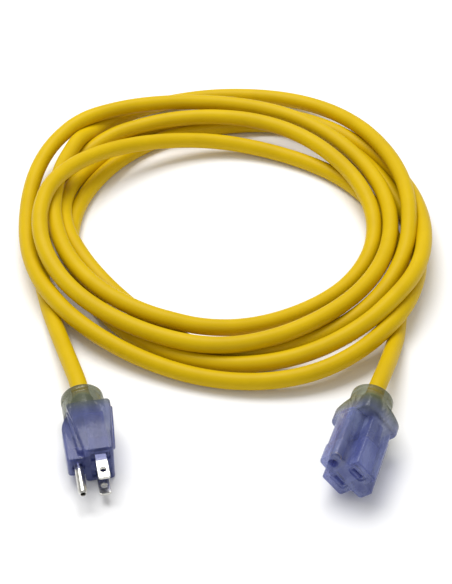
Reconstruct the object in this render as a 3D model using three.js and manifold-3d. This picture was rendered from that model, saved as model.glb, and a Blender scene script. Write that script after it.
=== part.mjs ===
// A three-core extension cord, laid down as a loose hand-wound coil: a moulded plug (NEMA 5-15P)
// and a moulded connector (NEMA 5-15R) in clear tinted plastic, on one round cord.
// Millimetres, +Z up. The origin is on the floor, under the middle of the two ends.
import * as THREE from 'three';
import { mergeVertices } from 'three/addons/utils/BufferGeometryUtils.js';
import Module from 'manifold-3d';

const wasm = await Module();
wasm.setup();

// ---- driving dimensions -------------------------------------------------------------------------
const GAP = 0.3; // clearance between pieces that touch on the real cord
const CORD_R = 4.9; // outer radius of the jacket
const JACKET_BORE_R = 4.2;
const CORE_R = 1.75; // one insulated conductor
const CORE_RING_R = 2.2; // the three conductors lie on this circle inside the jacket
const STRAND_R = 1.2; // the bare copper end of a conductor

const BLADE_PITCH = 12.7; // between the two flat blades
const BLADE_WIDTH = 6.35;
const BLADE_THICK = 1.5;
const BLADE_OUT = 17.5; // how far a blade stands out of the face
const BLADE_HOLE = { fromFace: 11.9, r: 1.7 };
const PIN_OFFSET = 11.9; // from the line of the blades to the ground pin
const PIN_R = 2.4;
const PIN_OUT = 20.8;
const BARREL_R = 2.3; // a crimp barrel, outside
const BARREL_BORE_R = 1.5;
const BARREL_LENGTH = 5.5;

const COLLAR_R = 11.7; // the round collar at the cord end of both mouldings
const SLEEVE = { bore: 5.2, front: 8.6, back: 6.4, rib: 0.7, ribs: 4 }; // tapered strain relief
const SLEEVE_ROOM_R = 9.2;

// Each end is drawn in a frame of its own: it looks along -Y, +X runs across it, and the cord
// leaves along +Y. Depths count from y = 0, the plane that the blades stand out of.
const PLUG = { length: 47.5, body: 34.5, axisX: -3.8, half: 12, barrelY: 11.2, sleeveY: 27 };
const CONNECTOR = {
  length: 55, axisZ: 2.5, front: 33.5, taper: 46.5, barrelY: 21.5, sleeveY: 34.7,
};
const FACE = -2; // the front of both mouldings, proud of the plane that their depths count from
const JACKET_INSET = 5; // the jacket starts this far behind the front of the strain relief

// Where the two faces lie on the floor plan, their height, and how each end is turned.
const PLUG_PLACE = { at: [-67.1, -12.4, 12], turn: 11, roll: 0 };
const CONNECTOR_PLACE = { at: [62.5, -26.1, 16.8], turn: -18.1, roll: -43.9 };

// The coil, as one oval ring, and the two stretches of cord that run from it to the ends.
const COIL = { centre: [-3.2, 187.6], halfX: 127.5, halfY: 145, inner: 0.62, height: 28 };
const PLUG_TAIL = [
  [-79.9, 33.5, 12], [-82.6, 45.3, 12], [-86.4, 56.4, 9.7], [-90.1, 67.7, 7.7],
  [-93.6, 79, 6.2], [-97.1, 90.4, 5.3], [-100.5, 101.9, 5], [-103.7, 113.5, 5],
];
const CONNECTOR_TAIL = [
  [77.9, 26.7, 18.6], [81.9, 38.1, 18.3], [85.5, 49, 14.9], [88.6, 60, 11.2],
  [91.5, 71.3, 8], [94.3, 82.7, 5.9], [96.8, 94.3, 5], [98.9, 106.1, 5],
];

const DEG = Math.PI / 180;

// ---- materials ----------------------------------------------------------------------------------
const material = (color, roughness, metalness) =>
  new THREE.MeshStandardMaterial({ color, roughness, metalness });
const MATERIALS = {
  clearBlue: material(0x8089c4, 0.25, 0),
  carrier: material(0x5a5f94, 0.4, 0),
  sleeve: material(0xa9ab8e, 0.45, 0),
  jacket: material(0xe3bb1b, 0.5, 0),
  nickel: material(0xd9d8d2, 0.22, 1),
  brass: material(0xc9a560, 0.3, 1),
  copper: material(0xb8734a, 0.35, 1),
  black: material(0x1d1d20, 0.5, 0),
  white: material(0xe4e2dc, 0.5, 0),
  green: material(0x2f7d3f, 0.5, 0),
  lampGlass: material(0x6a4f8f, 0.15, 0),
  ceramic: material(0xb49c7a, 0.6, 0),
};

// ---- solids -------------------------------------------------------------------------------------
function toSolid(geometry) {
  const bare = geometry.clone();
  bare.deleteAttribute('normal');
  bare.deleteAttribute('uv');
  const merged = mergeVertices(bare, 1e-4);
  return new wasm.Manifold(new wasm.Mesh({
    numProp: 3,
    vertProperties: new Float32Array(merged.attributes.position.array),
    triVerts: new Uint32Array(merged.index.array),
  }));
}

function toGeometry(solid) {
  const mesh = solid.getMesh();
  const geometry = new THREE.BufferGeometry();
  geometry.setAttribute('position', new THREE.BufferAttribute(mesh.vertProperties, 3));
  geometry.setIndex(new THREE.BufferAttribute(mesh.triVerts, 1));
  geometry.computeVertexNormals();
  return geometry;
}

const join = (first, ...rest) => rest.reduce((whole, piece) => whole.add(piece), first);
const cut = (first, ...rest) => rest.reduce((whole, piece) => whole.subtract(piece), first);

// A closed outline through the points, each corner rounded by its own radius (third number).
function outline(points, radius = 0) {
  const shape = new THREE.Shape();
  const at = points.map(([x, y]) => new THREE.Vector2(x, y));
  at.forEach((corner, i) => {
    const r = points[i][2] ?? radius;
    const before = at[(i + at.length - 1) % at.length].clone().sub(corner);
    const after = at[(i + 1) % at.length].clone().sub(corner);
    const start = corner.clone().addScaledVector(before.normalize(), r);
    const end = corner.clone().addScaledVector(after.normalize(), r);
    if (i === 0) shape.moveTo(start.x, start.y);
    else shape.lineTo(start.x, start.y);
    if (r > 0) shape.quadraticCurveTo(corner.x, corner.y, end.x, end.y);
  });
  shape.closePath();
  return shape;
}

const rectangle = (x0, x1, y0, y1, r = 0) => outline([[x0, y0], [x1, y0], [x1, y1], [x0, y1]], r);

function extrude(shape, depth, bevel = 0) {
  return new THREE.ExtrudeGeometry(shape, {
    depth: depth - 2 * bevel,
    curveSegments: 4,
    bevelEnabled: bevel > 0,
    bevelSize: bevel,
    bevelThickness: bevel,
    bevelOffset: -bevel,
    bevelSegments: 2,
  }).translate(0, 0, bevel);
}

// A plan outline (x, y) made thick between two heights.
const slab = (shape, z0, z1, bevel) => toSolid(extrude(shape, z1 - z0, bevel).translate(0, 0, z0));

// A cross-section (x, z) carried along the axis from y0 to y1.
const prism = (shape, y0, y1, bevel) =>
  toSolid(extrude(shape, y1 - y0, bevel).rotateX(90 * DEG).translate(0, y1, 0));

// A box between two corners, and a turned piece about an axis along Y through (x, z).
const block = ([x0, y0, z0], [x1, y1, z1], bevel) => slab(rectangle(x0, x1, y0, y1), z0, z1, bevel);

function turned(profile, x, z, sides = 24) {
  const points = profile.map(([r, y]) => new THREE.Vector2(r, y));
  return toSolid(new THREE.LatheGeometry(points, sides).translate(x, 0, z));
}

const rod = (r, y0, y1, x, z, sides) => turned([[0, y0], [r, y0], [r, y1], [0, y1]], x, z, sides);

const pipe = (bore, r, y0, y1, x, z, sides) =>
  turned([[bore, y0], [r, y0], [r, y1], [bore, y1], [bore, y0]], x, z, sides);

// A round bar bent along a smooth curve through the points.
function bentBar(points, r, steps, sides) {
  const section = new THREE.Shape().absarc(0, 0, r, 0, 2 * Math.PI);
  const path = new THREE.CatmullRomCurve3(points.map((p) => new THREE.Vector3(...p)));
  return toSolid(new THREE.ExtrudeGeometry(section, {
    steps, curveSegments: sides / 2, extrudePath: path,
  }));
}

// ---- pieces that both ends have -----------------------------------------------------------------
// The crimp barrel that grips a conductor's bare end.
const barrel = (y0, x, z) =>
  pipe(BARREL_BORE_R, BARREL_R, y0, y0 + BARREL_LENGTH, x, z, 16);

// The bare copper inside that barrel, which stands out of it a little.
const strands = (barrelY, x, z) =>
  rod(STRAND_R, barrelY + 0.8, barrelY + BARREL_LENGTH + 0.5, x, z, 12);

// One insulated conductor, from its barrel at (x, z) into the jacket, where the three lie in a ring
// about the cord's axis, each at its own angle.
function core([x, z], barrelY, [axisX, axisZ], angle, sleeveY, endY) {
  const y0 = barrelY + BARREL_LENGTH + 1;
  const xIn = axisX + CORE_RING_R * Math.cos(angle * DEG);
  const zIn = axisZ + CORE_RING_R * Math.sin(angle * DEG);
  const reach = sleeveY - y0;
  return bentBar([
    [x, y0, z], [0.95 * x + 0.05 * xIn, y0 + 0.15 * reach, 0.95 * z + 0.05 * zIn],
    [0.5 * (x + xIn), y0 + 0.52 * reach, 0.5 * (z + zIn)],
    [0.05 * x + 0.95 * xIn, y0 + 0.9 * reach, 0.05 * z + 0.95 * zIn],
    [xIn, sleeveY + 2, zIn], [xIn, sleeveY + 8, zIn], [xIn, endY, zIn],
  ], CORE_R, 16, 8);
}

// The tapered, ribbed strain relief that grips the jacket inside the collar.
function sleeve(y0, y1, x, z) {
  const profile = [[SLEEVE.bore, y0], [SLEEVE.front - 1, y0]];
  const pitch = (y1 - y0) / SLEEVE.ribs;
  for (let i = 0; i < SLEEVE.ribs; i += 1) {
    const r = SLEEVE.front + (SLEEVE.back - SLEEVE.front) * (i / (SLEEVE.ribs - 1));
    const y = y0 + i * pitch;
    profile.push([r, y + 0.2 * pitch], [r, y + 0.65 * pitch]);
    profile.push([r - SLEEVE.rib, y + 0.7 * pitch], [r - SLEEVE.rib, y + 0.95 * pitch]);
  }
  profile.push([SLEEVE.back - SLEEVE.rib, y1], [SLEEVE.bore, y1], [SLEEVE.bore, y0]);
  return turned(profile, x, z, 20);
}

// The round collar at the cord end, its rear rim rounded over.
function collar(y0, y1, x, z) {
  return turned([
    [0, y0], [COLLAR_R, y0], [COLLAR_R, y1 - 4.6], [COLLAR_R - 0.5, y1 - 4.2],
    [COLLAR_R - 0.5, y1 - 3.6], [COLLAR_R, y1 - 3.2], [COLLAR_R, y1 - 1.4],
    [COLLAR_R - 0.5, y1 - 0.4], [COLLAR_R - 1.6, y1], [0, y1],
  ], x, z, 36);
}

// ---- plug ---------------------------------------------------------------------------------------
function plugPieces() {
  const { length, body, axisX, half, barrelY, sleeveY } = PLUG;
  const bladeZ = BLADE_PITCH / 2;
  const axis = [axisX, 0];
  const roomFrom = 9;
  const pieces = {};

  const carrierBlock = (grow) => join(
    block([-5 - grow, 1.4 - grow, -9.4 - grow], [5 + grow, roomFrom + grow, 9.4 + grow]),
    block([-15.3 - grow, 1.4 - grow, -3.9 - grow], [-4, roomFrom + grow, 3.9 + grow]),
  );
  const bladeSlots = [bladeZ, -bladeZ].map((z) => block(
    [-BLADE_WIDTH / 2 - GAP, FACE - 1, z - BLADE_THICK / 2 - GAP],
    [BLADE_WIDTH / 2 + GAP, roomFrom + 1, z + BLADE_THICK / 2 + GAP],
  ));
  const pinHole = rod(PIN_R + GAP, FACE - 1, roomFrom + 1, -PIN_OFFSET, 0, 20);

  // The moulding: a flared block round the blades, a rounded lobe round the ground pin, a finger
  // rib down the far side, and the round collar.
  const flared = slab(outline([
    [-8.3, FACE, 0], [7, FACE, 0], [8.2, 11, 0], [10, 30, 0], [10, body, 2.5], [-14, body, 2.5],
    [-10.6, 14, 0],
  ]), -half, half, 0.9);
  const lobe = slab(outline([
    [-17.6, FACE, 0], [-6, FACE, 0], [-6, 32, 0], [-13.4, 33, 0], [-17.8, 24, 4],
  ]), -6.2, 6.2, 1.2);
  const shelf = slab(outline([
    [-11.6, 2, 0], [-6, 1, 0], [-6, 31, 0], [-14, 31, 0], [-12.6, 14, 0],
  ]), -8.8, 8.8, 1);
  const rib = slab(outline([
    [5, 4, 0], [8.7, 4, 0], [11, 31, 0], [5, 31, 0],
  ]), -8.5, 8.5, 1);
  const shell = join(flared, lobe, shelf, rib, collar(body - 1.5, length, axisX, 0));
  const rooms = join(
    block([-5.3, roomFrom, -9.7], [5.3, sleeveY, 9.7]),
    block([-15.6, roomFrom, -4.2], [-4, sleeveY, 4.2]),
    rod(SLEEVE_ROOM_R, sleeveY - GAP, length + 1, axisX, 0, 28),
  );
  pieces.plug_housing = [
    cut(shell, carrierBlock(GAP), rooms, ...bladeSlots, pinHole), MATERIALS.clearBlue,
  ];
  pieces.plug_blade_carrier = [cut(carrierBlock(0), ...bladeSlots, pinHole), MATERIALS.carrier];

  const tip = 1.6;
  const bladePlan = outline([
    [-BLADE_WIDTH / 2, -BLADE_OUT, tip], [BLADE_WIDTH / 2, -BLADE_OUT, tip],
    [BLADE_WIDTH / 2, 8.6, 0], [1.6, 9.6, 0], [1.6, barrelY + 0.5, 0], [-1.6, barrelY + 0.5, 0],
    [-1.6, 9.6, 0], [-BLADE_WIDTH / 2, 8.6, 0],
  ]);
  bladePlan.holes.push(new THREE.Path().absarc(
    0, -BLADE_HOLE.fromFace, BLADE_HOLE.r, 0, 2 * Math.PI, true,
  ));
  [['line', bladeZ, 60, 'black'], ['neutral', -bladeZ, -60, 'white']].forEach((pole) => {
    const [name, z, angle, insulation] = pole;
    const plate = slab(bladePlan, z - BLADE_THICK / 2, z + BLADE_THICK / 2, 0.3);
    pieces[`plug_${name}_blade`] = [join(plate, barrel(barrelY, 0, z)), MATERIALS.nickel];
    pieces[`plug_${name}_strands`] = [strands(barrelY, 0, z), MATERIALS.copper];
    pieces[`plug_${name}_core`] = [
      core([0, z], barrelY, axis, angle, sleeveY, length - GAP), MATERIALS[insulation],
    ];
  });

  // The ground pin is rolled and hollow, open at its rounded tip.
  const barrelEnd = barrelY + BARREL_LENGTH;
  pieces.plug_ground_pin = [turned([
    [1.1, -PIN_OUT + 0.5], [1.5, -PIN_OUT], [PIN_R - 0.3, -PIN_OUT + 1], [PIN_R, -PIN_OUT + 2.2],
    [PIN_R, 9.6], [BARREL_R, 10.4], [BARREL_R, barrelEnd], [BARREL_BORE_R, barrelEnd],
    [BARREL_BORE_R, barrelY + 0.5], [0, barrelY + 0.5], [0, -8], [1.1, -8], [1.1, -PIN_OUT + 0.5],
  ], -PIN_OFFSET, 0, 20), MATERIALS.nickel];
  pieces.plug_ground_strands = [strands(barrelY, -PIN_OFFSET, 0), MATERIALS.copper];
  pieces.plug_ground_core = [
    core([-PIN_OFFSET, 0], barrelY, axis, 180, sleeveY, length - GAP), MATERIALS.green,
  ];

  pieces.plug_jacket_end = [
    pipe(JACKET_BORE_R, CORD_R, sleeveY + JACKET_INSET, length - GAP, axisX, 0, 20),
    MATERIALS.jacket,
  ];
  pieces.plug_strain_relief = [sleeve(sleeveY, length - GAP, axisX, 0), MATERIALS.sleeve];
  return pieces;
}

// ---- connector ----------------------------------------------------------------------------------
function connectorPieces() {
  const { length, axisZ, front, taper, barrelY, sleeveY } = CONNECTOR;
  const slotX = BLADE_PITCH / 2;
  const axis = [0, axisZ];
  const holderEnd = 20;
  const pieces = {};

  const holder = (grow) => block(
    [-10 - grow, 1.4 - grow, -4.9 - grow], [10 + grow, holderEnd + grow, 4.9 + grow],
  );
  const contactPocket = (x) => block([x - 2.3, 2.2, -3.6], [x + 2.3, holderEnd + 1, 3.6]);
  const bladeSlot = (x) => block([x - 1.1, FACE - 1, -3.6], [x + 1.1, 3, 3.6]);
  const slots = [slotX, -slotX].map(bladeSlot);
  const groundHole = join(
    rod(2.75, FACE - 1, 3, 0, PIN_OFFSET, 20), rod(3.5, 2.4, 31, 0, PIN_OFFSET, 20),
  );
  const lampRoom = rod(2.9, 9, 30, 0, -10.4, 16);

  // The moulding: a cross-shaped front, a square finger guard, a coned shoulder and the collar.
  const middle = prism(rectangle(-13, 13, -8.2, 7.2, 2), FACE, front + 1, 0.5);
  const groundLobe = prism(outline([
    [-6.6, 0, 0], [6.6, 0, 0], [6, 16.6, 3.4], [-6, 16.6, 3.4],
  ]), FACE, front + 1, 0.5);
  const lobeBand = prism(outline([
    [-7.1, 5, 0], [7.1, 5, 0], [6.5, 17.1, 3.4], [-6.5, 17.1, 3.4],
  ]), FACE, 9.5, 0.5);
  const lampLobe = prism(outline([
    [-4.6, -15, 2], [4.6, -15, 2], [5.6, 0, 0], [-5.6, 0, 0],
  ]), FACE, front + 1, 0.5);
  const guardSection = rectangle(-14.6, 14.6, -11.9, 14.6, 5.5);
  const cone = turned([
    [0, front - 1], [21, front - 1], [21, front + 3.2], [COLLAR_R, taper], [0, taper],
  ], 0, axisZ, 36);
  const guard = prism(guardSection, front, taper).intersect(cone);
  const shell = join(
    middle, groundLobe, lobeBand, lampLobe, guard, collar(taper - 1, length, 0, axisZ),
  );
  const rooms = join(
    block([-9.2, holderEnd, -4], [9.2, sleeveY, 4.5]), block([-3.2, 21, -9], [3.2, sleeveY, 14]),
    rod(SLEEVE_ROOM_R, sleeveY - GAP, length + 1, 0, axisZ, 28),
  );
  pieces.connector_housing = [
    cut(shell, holder(GAP), ...slots, groundHole, lampRoom, rooms), MATERIALS.clearBlue,
  ];
  pieces.connector_contact_holder = [
    cut(holder(0), ...slots, contactPocket(slotX), contactPocket(-slotX)), MATERIALS.carrier,
  ];

  // A line or neutral contact: two spring leaves, flared at the mouth, joined at the back.
  [['line', slotX, -30, 'black'], ['neutral', -slotX, 210, 'white']].forEach((pole) => {
    const [name, x, angle, insulation] = pole;
    const leaf = (side) => slab(outline([
      [x + side * 1.9, 3], [x + side * 1.3, 3.3], [x + side * 0.85, 6],
      [x + side * 0.85, 18.6], [x + side * 1.6, 18.6], [x + side * 1.6, 6],
    ]), -3.1, 3.1);
    const web = block([x - 1.6, 18.4, -3.1], [x + 1.6, 19.6, 3.1]);
    const neck = block([x - 0.8, 19.4, -1.5], [x + 0.8, barrelY + 0.5, 1.5]);
    pieces[`connector_${name}_contact`] = [
      join(leaf(1), leaf(-1), web, neck, barrel(barrelY, x, 0)), MATERIALS.brass,
    ];
    pieces[`connector_${name}_strands`] = [strands(barrelY, x, 0), MATERIALS.copper];
    pieces[`connector_${name}_core`] = [
      core([x, 0], barrelY, axis, angle, sleeveY, length - GAP), MATERIALS[insulation],
    ];
  });

  // The ground contact is a round sleeve, deeper than the blades' contacts.
  const groundBarrelY = 23;
  const groundEnd = groundBarrelY + BARREL_LENGTH;
  pieces.connector_ground_contact = [turned([
    [2.45, 2.8], [3.1, 2.8], [3.1, 21.8], [BARREL_R, 22.6], [BARREL_R, groundEnd],
    [BARREL_BORE_R, groundEnd], [BARREL_BORE_R, groundBarrelY + 0.5], [0, groundBarrelY + 0.5],
    [0, 21.4], [2.45, 21.4], [2.45, 2.8],
  ], 0, PIN_OFFSET, 20), MATERIALS.brass];
  pieces.connector_ground_strands = [strands(groundBarrelY, 0, PIN_OFFSET), MATERIALS.copper];
  pieces.connector_ground_core = [
    core([0, PIN_OFFSET], groundBarrelY, axis, 90, sleeveY, length - GAP), MATERIALS.green,
  ];

  // The pilot lamp that lights the clear moulding, and the resistor in series with it.
  pieces.connector_pilot_lamp = [turned([
    [0, 10], [1.4, 10.5], [2.3, 12.2], [2.5, 14], [2.5, 20.5], [0.9, 21.2], [0, 21.2],
  ], 0, -10.4, 16), MATERIALS.lampGlass];
  pieces.connector_lamp_resistor = [turned([
    [0, 22], [1.2, 22], [1.5, 23], [1.2, 24], [1.2, 27], [1.5, 28], [1.2, 29], [0, 29],
  ], 0, -10.4, 12), MATERIALS.ceramic];

  pieces.connector_jacket_end = [
    pipe(JACKET_BORE_R, CORD_R, sleeveY + JACKET_INSET, length - GAP, 0, axisZ, 20),
    MATERIALS.jacket,
  ];
  pieces.connector_strain_relief = [sleeve(sleeveY, length - GAP, 0, axisZ), MATERIALS.sleeve];
  return pieces;
}

// ---- cord ---------------------------------------------------------------------------------------
// The coil's outer shape is a flat oval ring with rounded shoulders.
function coilRing(grow) {
  const { centre, halfX, halfY, inner, height } = COIL;
  const radius = halfX + grow;
  const bore = halfX * inner - grow;
  const round = 6;
  const ring = new THREE.LatheGeometry([
    [bore, 0], [radius - round, 0], [radius, round], [radius, height - 2 * round],
    [radius - 2 * round, height + grow], [bore + 2 * round, height + grow],
    [bore, height - 2 * round], [bore, 0],
  ].map(([r, y]) => new THREE.Vector2(r, y)), 48);
  ring.rotateX(90 * DEG).scale(1, halfY / halfX, 1).translate(centre[0], centre[1], 0);
  return toSolid(ring);
}

function cordPieces() {
  const tail = (points) => cut(bentBar(points, CORD_R, 10, 12), coilRing(GAP));
  return {
    cord_coil: [coilRing(0), MATERIALS.jacket],
    cord_plug_tail: [tail(PLUG_TAIL), MATERIALS.jacket],
    cord_connector_tail: [tail(CONNECTOR_TAIL), MATERIALS.jacket],
  };
}

// ---- assembly -----------------------------------------------------------------------------------
function addPieces(group, pieces) {
  Object.entries(pieces).forEach(([name, [solid, look]]) => {
    const mesh = new THREE.Mesh(toGeometry(solid), look);
    mesh.name = name;
    group.add(mesh);
  });
}

// An end stands at its face, turned about the vertical and rolled about its own axis.
function placedEnd(pieces, { at, turn, roll }) {
  const rolled = new THREE.Group();
  rolled.rotation.y = roll * DEG;
  addPieces(rolled, pieces);
  const standing = new THREE.Group();
  standing.rotation.z = turn * DEG;
  standing.position.set(...at);
  standing.add(rolled);
  return standing;
}

const cordSet = new THREE.Group();
cordSet.add(placedEnd(plugPieces(), PLUG_PLACE));
cordSet.add(placedEnd(connectorPieces(), CONNECTOR_PLACE));
addPieces(cordSet, cordPieces());

export default cordSet;
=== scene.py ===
import math

import bmesh
import bpy
import numpy as np
from mathutils import Matrix, Vector


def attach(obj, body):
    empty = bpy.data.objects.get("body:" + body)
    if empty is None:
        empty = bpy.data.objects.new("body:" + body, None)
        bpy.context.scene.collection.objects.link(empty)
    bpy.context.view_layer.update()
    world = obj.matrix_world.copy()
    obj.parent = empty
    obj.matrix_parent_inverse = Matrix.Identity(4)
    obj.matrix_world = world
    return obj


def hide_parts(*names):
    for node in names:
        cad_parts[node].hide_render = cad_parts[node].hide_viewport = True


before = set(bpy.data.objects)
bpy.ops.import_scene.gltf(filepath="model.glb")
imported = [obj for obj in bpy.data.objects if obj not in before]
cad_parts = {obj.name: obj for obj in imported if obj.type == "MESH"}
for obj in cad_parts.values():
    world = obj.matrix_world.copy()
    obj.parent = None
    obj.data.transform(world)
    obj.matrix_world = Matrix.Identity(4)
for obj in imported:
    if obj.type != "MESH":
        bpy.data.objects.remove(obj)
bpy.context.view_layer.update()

MM = 0.001

# ---- camera, floor and light --------------------------------------------------------------------
scene = bpy.context.scene
scene.view_settings.view_transform = "Standard"

camera_data = bpy.data.cameras.new("camera")
camera_data.sensor_width = 36
camera_data.lens = 104
camera = bpy.data.objects.new("camera", camera_data)
camera.location = (-0.0012, -0.6097, 0.6741)
camera.rotation_euler = (math.radians(47.8), 0, 0)
scene.collection.objects.link(camera)
scene.camera = camera


def nodes_of(material):
    material.use_nodes = True
    tree = material.node_tree
    tree.nodes.clear()
    return tree


def add(tree, kind, inputs=None, **settings):
    """A node with its settings and inputs. An input is a value, or the socket that feeds it."""
    node = tree.nodes.new(kind)
    for name, value in settings.items():
        setattr(node, name, value)
    for name, value in (inputs or {}).items():
        if isinstance(value, bpy.types.NodeSocket):
            tree.links.new(value, node.inputs[name])
        else:
            node.inputs[name].default_value = value
    return node


def srgb(r, g, b):
    """A colour read as 0 to 255 on screen, as the linear values that the shaders take."""
    def linear(v):
        v /= 255
        return v / 12.92 if v <= 0.04045 else ((v + 0.055) / 1.055) ** 2.4
    return (linear(r), linear(g), linear(b), 1)


def area_light(name, at, aim, size, power, colour=(1, 1, 1)):
    data = bpy.data.lights.new(name, "AREA")
    data.shape = "RECTANGLE"
    data.size, data.size_y = size
    data.energy = power
    data.color = colour
    lamp = bpy.data.objects.new(name, data)
    lamp.location = at
    lamp.rotation_mode = "QUATERNION"
    lamp.rotation_quaternion = (Vector(aim) - Vector(at)).to_track_quat("-Z", "Y")
    scene.collection.objects.link(lamp)


def studio():
    mesh = bpy.data.meshes.new("floor")
    size = 6
    mesh.from_pydata(
        [(-size, -size, 0), (size, -size, 0), (size, size, 0), (-size, size, 0)],
        [], [(0, 1, 2, 3)])
    floor = bpy.data.objects.new("floor", mesh)
    floor.location.z = -0.0002
    scene.collection.objects.link(floor)
    paint = bpy.data.materials.new("pale_floor")
    tree = nodes_of(paint)
    shader = add(tree, "ShaderNodeBsdfPrincipled", {
        "Base Color": (0.93, 0.93, 0.935, 1), "Roughness": 0.6, "Specular IOR Level": 0.2})
    out = add(tree, "ShaderNodeOutputMaterial")
    tree.links.new(shader.outputs[0], out.inputs["Surface"])
    mesh.materials.append(paint)

    world = bpy.data.worlds.new("studio")
    scene.world = world
    world.use_nodes = True
    world.node_tree.nodes["Background"].inputs["Color"].default_value = (1, 1, 1, 1)
    world.node_tree.nodes["Background"].inputs["Strength"].default_value = 0.5
    area_light("key", (-0.3, 0.75, 1.6), (0, 0.15, 0), (1.5, 1.1), 30)
    area_light("fill", (0.6, -1.3, 1.0), (0, 0.1, 0), (1.0, 1.0), 2.5)


studio()

# ---- cord ---------------------------------------------------------------------------------------
CORD_D = 9.8 * MM
STEP = 6 * MM  # between the points of the finished route
INSIDE = 15 * MM  # how far the jacket reaches into each strain relief

# The two loose stretches, from each exit towards the coil, in mm. These points were sampled from a
# computed route, and some heights and X values were then changed.
PLUG_TAIL = [
    (-79.9, 33.5, 12), (-82.6, 45.3, 12), (-86.4, 56.4, 9.7), (-90.1, 67.7, 7.7),
    (-93.6, 79, 6.2), (-97.1, 90.4, 5.3), (-100.5, 101.9, 5), (-103.7, 113.5, 5),
]
CONNECTOR_TAIL = [
    (77.9, 26.7, 18.6), (81.9, 38.1, 18.3), (85.5, 49, 14.9), (88.6, 60, 11.2),
    (91.5, 71.3, 8), (94.3, 82.7, 5.9), (96.8, 94.3, 5), (98.9, 106.1, 5),
]

# The coil is an oval. At each hour of a clock, from just before nine and clockwise, the cord runs a
# distance in from the oval's edge, in mm, on the floor (0) or on what lies there (about 1 or 2).
# TURNS is the output of programs, rounded, with five distances then changed.
COIL_CENTRE = (-3.2, 187.6)
COIL_AXES = (122.6, 140.1)
LEAD_IN = [(5, 0)]
TURNS = [
    [(12, 0), (13, .2), (32, 1), (38, 1.2), (38, 1.2), (39, 1.1),
     (30, .5), (36, 0), (46, .1), (39, .5), (36, 1.1), (26, 1.4)],
    [(22, 1.5), (14, 1.1), (4, .1), (2, 0), (-2, .3), (6, 1.1),
     (8, 1.3), (12, .7), (24, .1), (25, 0), (42, .2), (38, .8)],
    [(26, .7), (22, .3), (28, 0), (20, 0), (12, 0), (5, .1),
     (3, .8), (-3, 1), (7, .1), (18, 0), (24, 0), (31, 0)],
    [(30, .1), (36, .2), (34, .1), (37, 0), (19, 0), (16, 0),
     (6, 0), (-3, .7), (-6, .4), (6, 0), (11, .3), (3, 1)],
    [(4, .5), (-2, .4), (16, 1), (24, 1), (23, 1), (24, .9),
     (21, 1), (23, .7), (27, .9), (22, .9), (25, 1), (13, 1.3)],
    [(14, 2.2), (36, 1.9), (50, .9), (53, .3), (53, 0), (38, 0), (22, 0)],
]
LEAD_OUT = [(2, 0)]


def smooth(values, at):
    """A smooth curve through evenly spaced values, read at the fractional places at."""
    v = np.asarray(values, float)
    v = np.vstack([2 * v[0] - v[1], v, 2 * v[-1] - v[-2]])
    i = np.clip(at.astype(int), 0, len(v) - 4)
    f = (at - i)[:, None]
    a, b, c, d = v[i], v[i + 1], v[i + 2], v[i + 3]
    return 0.5 * (2 * b + (c - a) * f + (2 * a - 5 * b + 4 * c - d) * f ** 2
                  + (3 * b - a - 3 * c + d) * f ** 3)


def evenly(points, step):
    """The same route with its points a fixed step apart."""
    run = np.r_[0, np.cumsum(np.linalg.norm(np.diff(points, axis=0), axis=1))]
    at = np.linspace(0, run[-1], int(round(run[-1] / step)) + 1)
    return np.stack([np.interp(at, run, points[:, k]) for k in range(3)], 1)


def coil_points():
    """The coil's centre line in mm, worked out hour by hour from TURNS."""
    lanes = LEAD_IN + [lane for turn in TURNS for lane in turn] + LEAD_OUT
    hours = np.arange(0, len(lanes) - 1 + 1e-9, 0.1)
    inward, layer = smooth(lanes, hours).T
    angle = math.pi + math.radians(30) * (1 - hours)
    scale = 1 - inward / (0.5 * sum(COIL_AXES))
    return np.stack([
        COIL_CENTRE[0] + COIL_AXES[0] * scale * np.cos(angle),
        COIL_CENTRE[1] + COIL_AXES[1] * scale * np.sin(angle),
        (CORD_D / 2 + CORD_D * np.maximum(layer, 0)) / MM], 1)


SAG = 0.008 * MM  # how far the cord sinks in each round
HOLD = 0.03  # how firmly it keeps to the laid-out route, seen from above
APART = 1.012 * CORD_D  # between the middles of two strands that touch


def settled(route, rounds=400):
    """Lets the laid-out cord come to rest: stiff, evenly spaced, kept out of the floor and itself."""
    x, laid, n = route.copy(), route.copy(), len(route)
    ends = [0, 1, 2, n - 3, n - 2, n - 1]
    for turn in range(rounds):
        if turn % 10 == 0:
            square = ((x[:, None] - x[None]) ** 2).sum(2)
            i, j = np.where(np.triu(square < (1.4 * CORD_D) ** 2, 9))
        for reach, firmness in ((1, 0.35), (3, 0.05), (5, 0.05)):
            bend, move = np.zeros_like(x), np.zeros_like(x)
            bend[reach:-reach] = 0.5 * (x[2 * reach:] + x[:-2 * reach]) - x[reach:-reach]
            move[2 * reach:-2 * reach] = bend[2 * reach:-2 * reach] - 0.5 * (
                bend[3 * reach:-reach] + bend[reach:-3 * reach])
            x = x + firmness * move
        x[:, 2] -= SAG
        x[:, :2] += HOLD * (laid[:, :2] - x[:, :2])
        span = np.diff(x, axis=0)
        length = np.linalg.norm(span, axis=1)
        fix = (0.25 * (length - length.mean()) / length)[:, None] * span
        x[:-1] += fix
        x[1:] -= fix
        for _ in range(6):
            gap = x[j] - x[i]
            distance = np.linalg.norm(gap, axis=1)
            near = distance < APART
            push = (0.4 * (APART - distance[near]) / distance[near])[:, None] * gap[near]
            total, count = np.zeros_like(x), np.zeros(n)
            np.add.at(total, i[near], -push)
            np.add.at(total, j[near], push)
            np.add.at(count, i[near], 1)
            np.add.at(count, j[near], 1)
            x = x + total / np.maximum(count, 1)[:, None] ** 0.7
            x[:, 2] = np.maximum(x[:, 2], CORD_D / 2)
        x[ends] = laid[ends]
    return x


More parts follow.
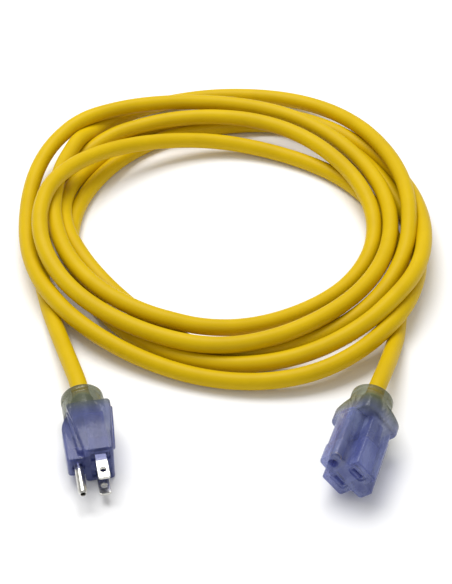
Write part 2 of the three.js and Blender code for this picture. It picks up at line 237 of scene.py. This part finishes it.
def cord_route():
    """The whole centre line in metres, from the plug's collar to the connector's."""
    laid = np.vstack([PLUG_TAIL, coil_points(), CONNECTOR_TAIL[::-1]]) * MM
    fine = smooth(laid, np.arange(0, len(laid) - 1 + 1e-9, 0.25))
    return settled(evenly(fine, STEP))


def jacket_material():
    paint = bpy.data.materials.new("yellow_jacket")
    tree = nodes_of(paint)
    place = add(tree, "ShaderNodeTexCoord")
    patches = add(tree, "ShaderNodeTexNoise", {
        "Vector": place.outputs["Object"], "Scale": 35, "Detail": 4, "Roughness": 0.6})
    tone = add(tree, "ShaderNodeValToRGB", {"Fac": patches.outputs["Fac"]})
    tone.color_ramp.elements[0].position = 0.3
    tone.color_ramp.elements[0].color = srgb(200, 166, 0)
    tone.color_ramp.elements[1].position = 0.75
    tone.color_ramp.elements[1].color = srgb(211, 177, 1)
    shader = add(tree, "ShaderNodeBsdfPrincipled", {
        "Base Color": tone.outputs["Color"], "Roughness": 0.45, "Specular IOR Level": 0.14})
    out = add(tree, "ShaderNodeOutputMaterial")
    tree.links.new(shader.outputs[0], out.inputs["Surface"])
    return paint


def make_cord():
    route = cord_route()
    first = route[0] + (route[0] - route[1]) / np.linalg.norm(route[0] - route[1]) * INSIDE
    last = route[-1] + (route[-1] - route[-2]) / np.linalg.norm(route[-1] - route[-2]) * INSIDE
    points = np.vstack([first, route, last])
    curve = bpy.data.curves.new("cord", "CURVE")
    curve.dimensions = "3D"
    curve.bevel_depth = CORD_D / 2
    curve.bevel_resolution = 6
    curve.use_fill_caps = True
    spline = curve.splines.new("NURBS")
    spline.points.add(len(points) - 1)
    for point, at in zip(spline.points, points):
        point.co = (*at, 1)
    spline.order_u = 4
    spline.use_endpoint_u = True
    spline.resolution_u = 3
    piece = bpy.data.objects.new("cord", curve)
    curve.materials.append(jacket_material())
    scene.collection.objects.link(piece)
    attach(piece, "root")
    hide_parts("cord_coil", "cord_plug_tail", "cord_connector_tail",
                "plug_jacket_end", "connector_jacket_end")
    return piece


cord = make_cord()


# ---- materials of the ends ----------------------------------------------------------------------
def mottled(name, dark, light, roughness, metallic=0.0, scale=400, grain=0.1, specular=0.4):
    """An opaque material: soft patches between two tones, and a fine grain in its surface."""
    paint = bpy.data.materials.new(name)
    tree = nodes_of(paint)
    place = add(tree, "ShaderNodeTexCoord")
    patches = add(tree, "ShaderNodeTexNoise", {
        "Vector": place.outputs["Object"], "Scale": scale, "Detail": 3, "Roughness": 0.6})
    tone = add(tree, "ShaderNodeValToRGB", {"Fac": patches.outputs["Fac"]})
    tone.color_ramp.elements[0].position = 0.35
    tone.color_ramp.elements[0].color = dark
    tone.color_ramp.elements[1].position = 0.7
    tone.color_ramp.elements[1].color = light
    pits = add(tree, "ShaderNodeTexNoise", {
        "Vector": place.outputs["Object"], "Scale": 6 * scale, "Detail": 2})
    bump = add(tree, "ShaderNodeBump", {
        "Height": pits.outputs["Fac"], "Strength": grain, "Distance": 0.0001})
    shader = add(tree, "ShaderNodeBsdfPrincipled", {
        "Base Color": tone.outputs["Color"], "Roughness": roughness, "Metallic": metallic,
        "Specular IOR Level": specular, "Normal": bump.outputs["Normal"]})
    out = add(tree, "ShaderNodeOutputMaterial")
    tree.links.new(shader.outputs[0], out.inputs["Surface"])
    return paint


def clear_plastic(name, place, collar_from, deep, pale, least):
    """Tinted clear plastic in an end's own frame: blue-violet at the front, olive-grey at the
    collar. It lets more through where it is seen square on, and has pale clouds inside."""
    paint = bpy.data.materials.new(name)
    tree = nodes_of(paint)
    at, turn, roll = place
    own = add(tree, "ShaderNodeMapping", {
        "Vector": add(tree, "ShaderNodeTexCoord").outputs["Object"],
        "Location": [v * MM for v in at],
        "Rotation": (0, math.radians(roll), math.radians(turn))}, vector_type="TEXTURE")
    along = add(tree, "ShaderNodeSeparateXYZ", {"Vector": own.outputs["Vector"]})
    back = add(tree, "ShaderNodeMapRange", {
        "Value": along.outputs["Y"], "From Min": (collar_from - 9) * MM,
        "From Max": (collar_from + 3) * MM}, interpolation_type="SMOOTHSTEP")
    streaks = add(tree, "ShaderNodeMapping", {
        "Vector": own.outputs["Vector"], "Scale": (1, 0.3, 1)})
    clouds = add(tree, "ShaderNodeTexNoise", {
        "Vector": streaks.outputs["Vector"], "Scale": 130, "Detail": 3, "Roughness": 0.55})
    front = add(tree, "ShaderNodeValToRGB", {"Fac": clouds.outputs["Fac"]})
    front.color_ramp.elements[0].position = 0.35
    front.color_ramp.elements[0].color = deep
    front.color_ramp.elements[1].position = 0.68
    front.color_ramp.elements[1].color = pale
    tone = add(tree, "ShaderNodeMixRGB", {
        "Fac": back.outputs["Result"], "Color1": front.outputs["Color"],
        "Color2": srgb(88, 95, 80)})
    body = add(tree, "ShaderNodeBsdfPrincipled", {
        "Base Color": tone.outputs["Color"], "Roughness": 0.22, "Specular IOR Level": 0.5,
        "Coat Weight": 0.35, "Coat Roughness": 0.08})
    tint = add(tree, "ShaderNodeMixRGB", {
        "Fac": back.outputs["Result"], "Color1": srgb(206, 209, 238),
        "Color2": srgb(226, 228, 214)})
    through = add(tree, "ShaderNodeBsdfTransparent", {"Color": tint.outputs["Color"]})
    facing = add(tree, "ShaderNodeLayerWeight", {"Blend": 0.4})
    firm = add(tree, "ShaderNodeMapRange", {
        "Value": facing.outputs["Facing"], "To Min": least, "To Max": 0.88})
    both = add(tree, "ShaderNodeMixShader", {"Fac": firm.outputs["Result"]})
    tree.links.new(through.outputs[0], both.inputs[1])
    tree.links.new(body.outputs[0], both.inputs[2])
    out = add(tree, "ShaderNodeOutputMaterial")
    tree.links.new(both.outputs[0], out.inputs["Surface"])
    return paint


# ---- forms, in an end's own frame, in mm --------------------------------------------------------
def rounded(points, steps=5):
    """The closed outline through (x, y, corner radius) points."""
    at = [Vector(p[:2]) for p in points]
    out = []
    for i, corner in enumerate(at):
        radius = points[i][2] if len(points[i]) > 2 else 0
        if radius == 0:
            out.append(corner)
            continue
        start = corner + (at[i - 1] - corner).normalized() * radius
        end = corner + (at[(i + 1) % len(at)] - corner).normalized() * radius
        for k in range(steps + 1):
            t = k / steps
            out.append(start * (1 - t) ** 2 + corner * 2 * t * (1 - t) + end * t * t)
    return out


def inset(shape, by):
    """The same outline drawn in by that much."""
    area = sum(a.x * b.y - b.x * a.y for a, b in zip(shape, shape[1:] + shape[:1]))
    side = 1 if area > 0 else -1
    out = []
    for i, p in enumerate(shape):
        a = (p - shape[i - 1]).normalized()
        b = (shape[(i + 1) % len(shape)] - p).normalized()
        na, nb = Vector((-a.y, a.x)) * side, Vector((-b.y, b.x)) * side
        out.append(p + (na + nb) * (by / (1 + na.dot(nb))))
    return out


def loft(rings):
    """A closed form through rings of equally many points, filled at both ends."""
    form = bmesh.new()
    rows = [[form.verts.new(p) for p in ring] for ring in rings]
    n = len(rows[0])
    for low, high in zip(rows, rows[1:]):
        for k in range(n):
            form.faces.new((low[k], low[(k + 1) % n], high[(k + 1) % n], high[k]))
    form.faces.new(rows[0][::-1])
    form.faces.new(rows[-1])
    bmesh.ops.recalc_face_normals(form, faces=form.faces)
    mesh = bpy.data.meshes.new("form")
    form.to_mesh(mesh)
    form.free()
    return mesh


def levels(low, high, round_by, steps=3):
    """Heights from low to high with the inset that rounds the edge at both ends."""
    if round_by == 0:
        return [(low, 0), (high, 0)]
    turn = [math.radians(90) * k / steps for k in range(steps + 1)]
    edge = [(round_by * (1 - math.cos(a)), round_by * (1 - math.sin(a))) for a in turn]
    return ([(low + up, away) for up, away in edge]
            + [(high - up, away) for up, away in edge[::-1]])


def slab(points, low, high, round_by=0):
    """A plan outline (x, y) made thick between two heights."""
    shape = rounded(points)
    return loft([[(p.x, p.y, z) for p in inset(shape, away)]
                 for z, away in levels(low, high, round_by)])


def prism(points, front, back, round_by=0):
    """A cross-section (x, z) carried along the axis."""
    shape = rounded(points)
    return loft([[(p.x, y, p.y) for p in inset(shape, away)]
                 for y, away in levels(front, back, round_by)])


def box(x0, x1, y0, y1, z0, z1):
    return slab([(x0, y0), (x1, y0), (x1, y1), (x0, y1)], z0, z1)


def turned(profile, x, z, sides=64):
    """A form turned about an axis along Y through (x, z), from (radius, y) points."""
    return loft([[(x + r * math.cos(2 * math.pi * k / sides), y,
                   z + r * math.sin(2 * math.pi * k / sides)) for k in range(sides)]
                 for r, y in profile])


def softened(profile, radius, steps=4):
    """A turned profile with every corner but the first and the last rounded."""
    first, *middle, last = profile
    shape = rounded([(*first, 0), *[(*p, radius) for p in middle], (*last, 0)], steps)
    return [(p.x, p.y) for p in shape]


def combined(first, steps):
    """One mesh from a first one, with each (operation, mesh) applied to it in turn."""
    piece = bpy.data.objects.new("blank", first)
    scene.collection.objects.link(piece)
    tools = []
    for operation, mesh in steps:
        tool = bpy.data.objects.new("tool", mesh)
        scene.collection.objects.link(tool)
        tools.append(tool)
        step = piece.modifiers.new("step", "BOOLEAN")
        step.operation, step.solver, step.object = operation, "EXACT", tool
    shaped = bpy.data.meshes.new_from_object(
        piece.evaluated_get(bpy.context.evaluated_depsgraph_get()))
    for spent in (piece, *tools):
        bpy.data.objects.remove(spent)
    return shaped


def carved(name, forms, holes, place, paint):
    """One moulding: the forms joined, the holes cut out, and the whole stood in its place."""
    steps = [("UNION", form) for form in forms[1:]] + [("DIFFERENCE", hole) for hole in holes]
    shaped = combined(forms[0], steps)
    shaped.name = name
    piece = bpy.data.objects.new(name, shaped)
    scene.collection.objects.link(piece)
    return stood(piece, place, paint)


def stood(piece, place, paint):
    """The piece with its mesh moved into the shared frame, painted and shaded smooth."""
    mesh = piece.data
    at, turn, roll = place
    mesh.transform(
        Matrix.Translation(Vector(at) * MM) @ Matrix.Rotation(math.radians(turn), 4, "Z")
        @ Matrix.Rotation(math.radians(roll), 4, "Y") @ Matrix.Scale(MM, 4))
    mesh.materials.clear()
    mesh.materials.append(paint)
    mesh.polygons.foreach_set("use_smooth", [True] * len(mesh.polygons))
    mesh.set_sharp_from_angle(angle=math.radians(38))
    return piece


def belongs(piece, slot, *nodes):
    """Says which body the piece rides on and which CAD nodes it replaces. Its slot is not used."""
    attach(piece, "root")
    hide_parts(*nodes)
    return piece


# ---- where both ends lie, and what they share, in mm and degrees ---------------------------------
PLUG_PLACE = ((-67.1, -12.4, 12), 11, 0)  # place, turn about Z and roll about the end's own axis
CONNECTOR_PLACE = ((62.5, -26.1, 16.8), -18.1, -43.9)
FACE = -2  # each front face, along the end's own axis
COLLAR_R = 11.7
COLLAR_BORE = 9.2
BLADE = 6.35  # each blade and slot, off the middle


def collar(front, back, x, z):
    """The round collar: a groove before its rear rim, and the rim rounded over."""
    return turned(softened([
        (COLLAR_R, front), (COLLAR_R, back - 5.2), (COLLAR_R - 0.9, back - 4.6),
        (COLLAR_R - 0.9, back - 3.4), (COLLAR_R, back - 2.8), (COLLAR_R, back),
        (COLLAR_R - 2, back)], 0.5), x, z)


# ---- plug ---------------------------------------------------------------------------------------
PIN_X = -11.9  # the ground pin's axis


def make_plug():
    body, length, axis = 34.5, 47.5, -3.8
    forms = [
        slab([(-8.3, FACE, 2), (7, FACE, 2), (8.2, 11), (10, 30), (10, body, 2.5),
              (-14, body, 2.5), (-10.6, 14)], -12, 12, 0.9),
        slab([(-17.6, FACE, 2.4), (-6, FACE), (-6, 32), (-13.4, 33), (-17.8, 24, 4)],
             -6.2, 6.2, 1.1),
        slab([(-11.6, 2, 1.6), (-6, 1), (-6, 31), (-14, 31), (-12.6, 14)], -8.8, 8.8, 0.8),
        slab([(5, 4), (8.7, 4, 1.6), (11, 31, 1.6), (5, 31)], 3, 9.5, 0.8),
        collar(body - 1.5, length, axis, 0),
    ]
    holes = [turned([(3.5, FACE - 1), (3.5, -0.6), (2.7, 0.2), (2.7, 10)], PIN_X, 0, 40),
             turned([(COLLAR_BORE, 26.7), (COLLAR_BORE, length + 1)], axis, 0)]
    for z in (BLADE, -BLADE):
        holes.append(box(-5.2, 5.2, FACE - 1, FACE + 1.1, z - 2.9, z + 2.9))
        holes.append(box(-3.5, 3.5, FACE - 1, 10, z - 1.05, z + 1.05))
    holes.append(box(-5.3, 5.3, 1.1, 27, -9.7, 9.7))
    holes.append(box(-15.6, -4, 1.1, 27, -4.2, 4.2))
    plug = carved("plug_moulding", forms, holes, PLUG_PLACE, clear_plastic(
        "clear_plug", PLUG_PLACE, body, srgb(62, 70, 122), srgb(102, 112, 166), 0.36))
    belongs(plug, "clear_moulding", "plug_housing")

    pin = bpy.data.objects.new("ground_pin", turned(softened([
        (0.7, -8), (1.2, -8.2), (1.2, -20.3), (1.5, -20.8), (2.1, -19.9), (2.4, -18.6),
        (2.4, 9.6), (2.3, 10.4), (2.3, 16.7), (1.5, 16.7), (1.5, 11.7), (0.7, 11.7)], 0.25),
        PIN_X, 0, 48))
    scene.collection.objects.link(pin)
    stood(pin, PLUG_PLACE, NICKEL)
    belongs(pin, "plated_blades", "plug_ground_pin")


# ---- connector ----------------------------------------------------------------------------------
def make_connector():
    front, taper, length, axis = 33.5, 46.5, 55, 2.5
    guard = [(-14.6, -11.9, 5.5), (14.6, -11.9, 5.5), (14.6, 14.6, 5.5), (-14.6, 14.6, 5.5)]
    cone = turned([(21, front - 1), (21, front + 3.2), (COLLAR_R, taper + 0.01)], 0, axis)
    coned = combined(prism(guard, front, taper, 0.8), [("INTERSECT", cone)])
    forms = [
        prism([(-13, -8.2, 2), (13, -8.2, 2), (13, 7.2, 2), (-13, 7.2, 2)], FACE, front + 1, 0.8),
        prism([(-6.6, 0), (6.6, 0), (6, 16.6, 3.4), (-6, 16.6, 3.4)], FACE, front + 1, 0.8),
        prism([(-7.1, 5), (7.1, 5), (6.5, 17.1, 3.4), (-6.5, 17.1, 3.4)], FACE, 9.5, 0.7),
        prism([(-4.6, -15, 2), (4.6, -15, 2), (5.6, 0), (-5.6, 0)], FACE, front + 1, 0.8),
        coned,
        collar(taper - 1, length, 0, axis),
    ]
    holes = [turned([(2.75, FACE - 1), (2.75, 3), (3.5, 3), (3.5, 31)], 0, 11.9, 40),
             turned([(2.9, 9), (2.9, 30)], 0, -10.4, 32),
             turned([(COLLAR_BORE, 34.4), (COLLAR_BORE, length + 1)], 0, axis),
             box(-10.3, 10.3, 1.1, 20.3, -5.2, 5.2),
             box(-9.2, 9.2, 20, 34.7, -4, 4.5),
             box(-3.2, 3.2, 21, 34.7, -9, 14)]
    for x in (BLADE, -BLADE):
        holes.append(prism([(x - 2.7, -5.2, 2), (x + 2.7, -5.2, 2), (x + 2.7, 5.2, 2),
                            (x - 2.7, 5.2, 2)], FACE - 1, FACE + 0.9))
        holes.append(box(x - 1.1, x + 1.1, FACE - 1, 3, -3.6, 3.6))
    piece = carved("connector_moulding", forms, holes, CONNECTOR_PLACE,
                   clear_plastic("clear_connector", CONNECTOR_PLACE, 42, srgb(88, 97, 150),
                                 srgb(158, 168, 208), 0.22))
    return belongs(piece, "clear_moulding", "connector_housing")


# ---- what shows through the clear mouldings -----------------------------------------------------
NICKEL = mottled("nickel", srgb(196, 194, 186), srgb(226, 225, 220), 0.2, 1.0, 900, 0.04)
INNER = {
    "carrier": mottled("inner_carrier", srgb(96, 98, 160), srgb(142, 146, 200), 0.35),
    "holder": mottled("inner_holder", srgb(168, 172, 208), srgb(214, 217, 238), 0.3),
    "sleeve": mottled("olive_sleeve", srgb(158, 156, 92), srgb(196, 190, 104), 0.4),
    "brass": mottled("brass_strip", srgb(196, 166, 104), srgb(226, 204, 150), 0.3, 1.0),
    "copper": mottled("copper_strand", srgb(176, 108, 70), srgb(212, 140, 96), 0.35, 1.0),
    "black": mottled("black_core", srgb(26, 26, 30), srgb(44, 44, 50), 0.45),
    "white": mottled("white_core", srgb(216, 212, 202), srgb(236, 234, 226), 0.45),
    "green": mottled("green_core", srgb(36, 108, 56), srgb(58, 138, 76), 0.45),
    "lamp": mottled("lamp_glass", srgb(82, 60, 130), srgb(126, 98, 172), 0.12),
    "resistor": mottled("resistor_body", srgb(172, 150, 116), srgb(200, 178, 140), 0.5),
}
SHOWN = {
    "plug_blade_carrier": INNER["carrier"], "connector_contact_holder": INNER["holder"],
    "plug_strain_relief": INNER["sleeve"], "connector_strain_relief": INNER["sleeve"],
    "plug_line_blade": NICKEL, "plug_neutral_blade": NICKEL,
    "connector_pilot_lamp": INNER["lamp"], "connector_lamp_resistor": INNER["resistor"],
}
for pole, colour in (("line", "black"), ("neutral", "white"), ("ground", "green")):
    SHOWN[f"connector_{pole}_contact"] = INNER["brass"]
    for end in ("plug", "connector"):
        SHOWN[f"{end}_{pole}_strands"] = INNER["copper"]
        SHOWN[f"{end}_{pole}_core"] = INNER[colour]
for name, paint in SHOWN.items():
    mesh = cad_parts[name].data
    mesh.materials.clear()
    mesh.materials.append(paint)

make_plug()
connector = make_connector()
